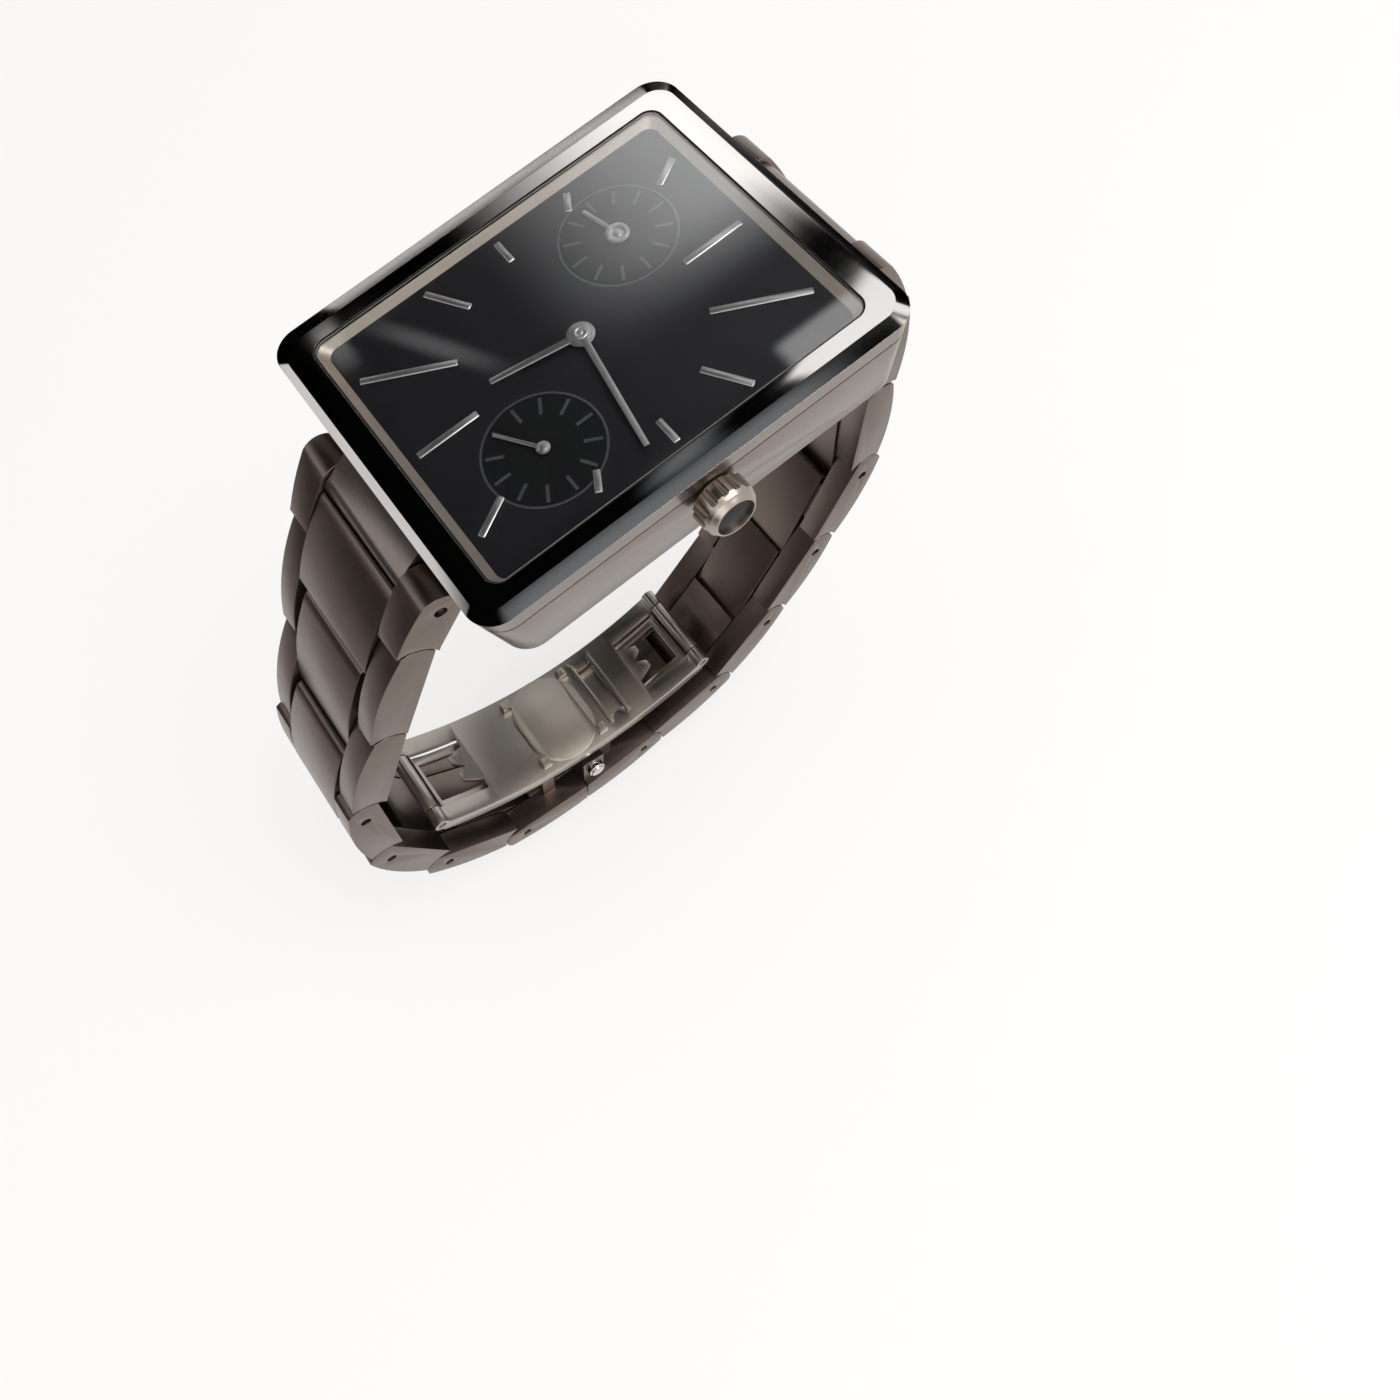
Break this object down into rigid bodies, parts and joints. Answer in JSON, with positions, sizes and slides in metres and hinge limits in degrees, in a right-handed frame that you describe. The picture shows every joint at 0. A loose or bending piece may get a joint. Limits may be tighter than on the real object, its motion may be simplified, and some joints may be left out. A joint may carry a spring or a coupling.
{
  "type": "analog wristwatch",
  "caption": "Rectangular quartz wristwatch with a black dial, two small dials, push-pull crown and a tapered three-row link bracelet closed by a folding clasp.",
  "frame": {"origin": "centre of the case back's outer face", "axes": "+Z is the way the dial faces, +Y points to 12 o'clock, +X to 3 o'clock and the crown"},
  "size_m": [0.0369, 0.0763, 0.0711],
  "materials": {
    "brushed_steel": "satin",
    "polished_steel": "mirror polish",
    "pin_steel": "ground",
    "sapphire_glass": "clear, polished",
    "gasket_rubber": "matt",
    "black_inlay": "gloss",
    "dial_lacquer": "satin black lacquer",
    "satin_ring": "fine satin",
    "silver_trim": "polished silver",
    "movement_brass": "plated",
    "holder_plastic": "matt",
    "cell_steel": "satin"
  },
  "bodies": {
    "case": {"case_middle": "brushed_steel", "bezel": "polished_steel", "crystal": "sapphire_glass", "crystal_gasket": "gasket_rubber", "rehaut_ring": "satin_ring", "dial": "dial_lacquer", "hour_markers": "silver_trim", "subdial_rings": "silver_trim", "movement": "movement_brass", "movement_holder": "holder_plastic", "battery": "cell_steel", "case_back": "brushed_steel", "back_gasket": "gasket_rubber", "back_screws": "pin_steel", "spring_bars": "pin_steel"},
    "hour": {"hour_hand": "silver_trim"},
    "minute": {"minute_hand": "silver_trim"},
    "day": {"day_hand": "silver_trim"},
    "seconds": {"seconds_hand": "silver_trim"},
    "stem": {"stem": "pin_steel"},
    "crown": {"crown": "polished_steel", "crown_inset": "black_inlay"},
    "first_12": {"first_link_12": "brushed_steel"},
    "link_12_1": {"link_12_1": "brushed_steel", "pin_12_1": "pin_steel"},
    "link_12_2": {"link_12_2": "brushed_steel", "pin_12_2": "pin_steel"},
    "link_12_3": {"link_12_3": "brushed_steel", "pin_12_3": "pin_steel"},
    "link_12_4": {"link_12_4": "brushed_steel", "pin_12_4": "pin_steel"},
    "link_12_5": {"link_12_5": "brushed_steel", "pin_12_5": "pin_steel"},
    "link_12_6": {"link_12_6": "brushed_steel", "pin_12_6": "pin_steel"},
    "end_12": {"end_link_12": "brushed_steel", "pin_12_7": "pin_steel", "arm_pin_12": "pin_steel", "button_springs": "polished_steel"},
    "first_6": {"first_link_6": "brushed_steel"},
    "link_6_1": {"link_6_1": "brushed_steel", "pin_6_1": "pin_steel"},
    "link_6_2": {"link_6_2": "brushed_steel", "pin_6_2": "pin_steel"},
    "link_6_3": {"link_6_3": "brushed_steel", "pin_6_3": "pin_steel"},
    "link_6_4": {"link_6_4": "brushed_steel", "pin_6_4": "pin_steel"},
    "link_6_5": {"link_6_5": "brushed_steel", "pin_6_5": "pin_steel"},
    "end_6": {"end_link_6": "brushed_steel", "pin_6_6": "pin_steel"},
    "arm_12": {"arm_12": "brushed_steel"},
    "base": {"base_plate": "brushed_steel", "clasp_cover": "brushed_steel", "knuckle_pins": "pin_steel"},
    "arm_6": {"arm_6": "brushed_steel", "arm_pin_6": "pin_steel"},
    "button_right": {"button_right": "polished_steel"},
    "button_left": {"button_left": "polished_steel"}
  },
  "joints": [
    {"name": "minute_turn", "type": "hinge", "parent": "case", "child": "minute", "pos_m": [0, 0, 0.008], "axis": [0, 0, -1], "continuous": true},
    {"name": "hour_turn", "type": "hinge", "parent": "case", "child": "hour", "pos_m": [0, 0, 0.0078], "axis": [0, 0, -1], "continuous": true},
    {"name": "day_turn", "type": "hinge", "parent": "case", "child": "day", "pos_m": [-0.0062, 0.0081, 0.0076], "axis": [0, 0, -1], "continuous": true},
    {"name": "seconds_turn", "type": "hinge", "parent": "case", "child": "seconds", "pos_m": [0.00635, -0.0082, 0.0076], "axis": [0, 0, -1], "continuous": true},
    {"name": "crown_pull", "type": "slide", "parent": "case", "child": "stem", "axis": [1, 0, 0], "range_m": [0, 0.001]},
    {"name": "crown_turn", "type": "hinge", "parent": "stem", "child": "crown", "pos_m": [0.0184, 0, 0.0052], "axis": [1, 0, 0], "continuous": true},
    {"name": "clasp_unfold", "type": "hinge", "parent": "end_12", "child": "arm_12", "pos_m": [0, -0.01882, -0.0531], "axis": [1, 0, 0], "range_deg": [0, 110]},
    {"name": "hinge_12_0", "type": "hinge", "parent": "case", "child": "first_12", "pos_m": [0, 0.02235, 0.0032], "axis": [1, 0, 0], "range_deg": [0, 30.01]},
    {"name": "hinge_12_1", "type": "hinge", "parent": "first_12", "child": "link_12_1", "pos_m": [0, 0.02536, -0.00443], "axis": [1, 0, 0], "range_deg": [0, 20.01]},
    {"name": "hinge_12_2", "type": "hinge", "parent": "link_12_1", "child": "link_12_2", "pos_m": [0, 0.02468, -0.01726], "axis": [1, 0, 0], "range_deg": [0, 8.01]},
    {"name": "hinge_12_3", "type": "hinge", "parent": "link_12_2", "child": "link_12_3", "pos_m": [0, 0.02312, -0.03002], "axis": [1, 0, 0], "range_deg": [0, 9.01]},
    {"name": "hinge_12_4", "type": "hinge", "parent": "link_12_3", "child": "link_12_4", "pos_m": [0, 0.01602, -0.04073], "axis": [1, 0, 0], "range_deg": [0, 9.01]},
    {"name": "hinge_12_5", "type": "hinge", "parent": "link_12_4", "child": "link_12_5", "pos_m": [0, 0.00743, -0.05028], "axis": [1, 0, 0], "range_deg": [0, 9.01]},
    {"name": "hinge_12_6", "type": "hinge", "parent": "link_12_5", "child": "link_12_6", "pos_m": [0, -0.0029, -0.05792], "axis": [1, 0, 0], "range_deg": [0, 15.01]},
    {"name": "hinge_12_7", "type": "hinge", "parent": "link_12_6", "child": "end_12", "pos_m": [0, -0.01558, -0.06005], "axis": [1, 0, 0], "range_deg": [0, 8.01]},
    {"name": "hinge_6_0", "type": "hinge", "parent": "case", "child": "first_6", "pos_m": [0, -0.02235, 0.0032], "axis": [-1, 0, 0], "range_deg": [0, 22.01]},
    {"name": "hinge_6_1", "type": "hinge", "parent": "first_6", "child": "link_6_1", "pos_m": [0, -0.02805, -0.0027], "axis": [-1, 0, 0], "range_deg": [0, 3.01]},
    {"name": "hinge_6_2", "type": "hinge", "parent": "link_6_1", "child": "link_6_2", "pos_m": [0, -0.03578, -0.01296], "axis": [-1, 0, 0], "range_deg": [0, 3.01]},
    {"name": "hinge_6_3", "type": "hinge", "parent": "link_6_2", "child": "link_6_3", "pos_m": [0, -0.04324, -0.02342], "axis": [-1, 0, 0], "range_deg": [0, 17.01]},
    {"name": "hinge_6_4", "type": "hinge", "parent": "link_6_3", "child": "link_6_4", "pos_m": [0, -0.04635, -0.03589], "axis": [-1, 0, 0], "range_deg": [0, 15.01]},
    {"name": "hinge_6_5", "type": "hinge", "parent": "link_6_4", "child": "link_6_5", "pos_m": [0, -0.0439, -0.0485], "axis": [-1, 0, 0], "range_deg": [0, 24.01]},
    {"name": "hinge_6_6", "type": "hinge", "parent": "link_6_5", "child": "end_6", "pos_m": [0, -0.03505, -0.05783], "axis": [-1, 0, 0], "range_deg": [0, 11.01]},
    {"name": "base_fold", "type": "hinge", "parent": "arm_12", "child": "base", "pos_m": [0, -0.00257, -0.05039], "axis": [-1, 0, 0], "range_deg": [0, 150.01]},
    {"name": "arm_fold_6", "type": "hinge", "parent": "base", "child": "arm_6", "pos_m": [0, -0.04043, -0.04024], "axis": [-1, 0, 0], "range_deg": [0, 128.01]},
    {"name": "button_press_right", "type": "slide", "parent": "end_12", "child": "button_right", "axis": [-1, 0, 0], "range_m": [0, 0.0008], "stiffness_N_per_m": 1500},
    {"name": "button_press_left", "type": "slide", "parent": "end_12", "child": "button_left", "axis": [1, 0, 0], "range_m": [0, 0.0008], "stiffness_N_per_m": 1500}
  ],
  "couplings": [
    {"joint": "hour_turn", "follows": "minute_turn", "ratio": 0.083333},
    {"joint": "day_turn", "follows": "minute_turn", "ratio": 0.041667},
    {"joint": "hinge_12_0", "follows": "clasp_unfold", "ratio": 0.27273},
    {"joint": "hinge_12_1", "follows": "clasp_unfold", "ratio": 0.18182},
    {"joint": "hinge_12_2", "follows": "clasp_unfold", "ratio": 0.072727},
    {"joint": "hinge_12_3", "follows": "clasp_unfold", "ratio": 0.081818},
    {"joint": "hinge_12_4", "follows": "clasp_unfold", "ratio": 0.081818},
    {"joint": "hinge_12_5", "follows": "clasp_unfold", "ratio": 0.081818},
    {"joint": "hinge_12_6", "follows": "clasp_unfold", "ratio": 0.13636},
    {"joint": "hinge_12_7", "follows": "clasp_unfold", "ratio": 0.072727},
    {"joint": "hinge_6_0", "follows": "clasp_unfold", "ratio": 0.2},
    {"joint": "hinge_6_1", "follows": "clasp_unfold", "ratio": 0.027273},
    {"joint": "hinge_6_2", "follows": "clasp_unfold", "ratio": 0.027273},
    {"joint": "hinge_6_3", "follows": "clasp_unfold", "ratio": 0.15454},
    {"joint": "hinge_6_4", "follows": "clasp_unfold", "ratio": 0.13636},
    {"joint": "hinge_6_5", "follows": "clasp_unfold", "ratio": 0.21818},
    {"joint": "hinge_6_6", "follows": "clasp_unfold", "ratio": 0.1},
    {"joint": "base_fold", "follows": "clasp_unfold", "ratio": 1.3636},
    {"joint": "arm_fold_6", "follows": "clasp_unfold", "ratio": 1.1636}
  ]
}
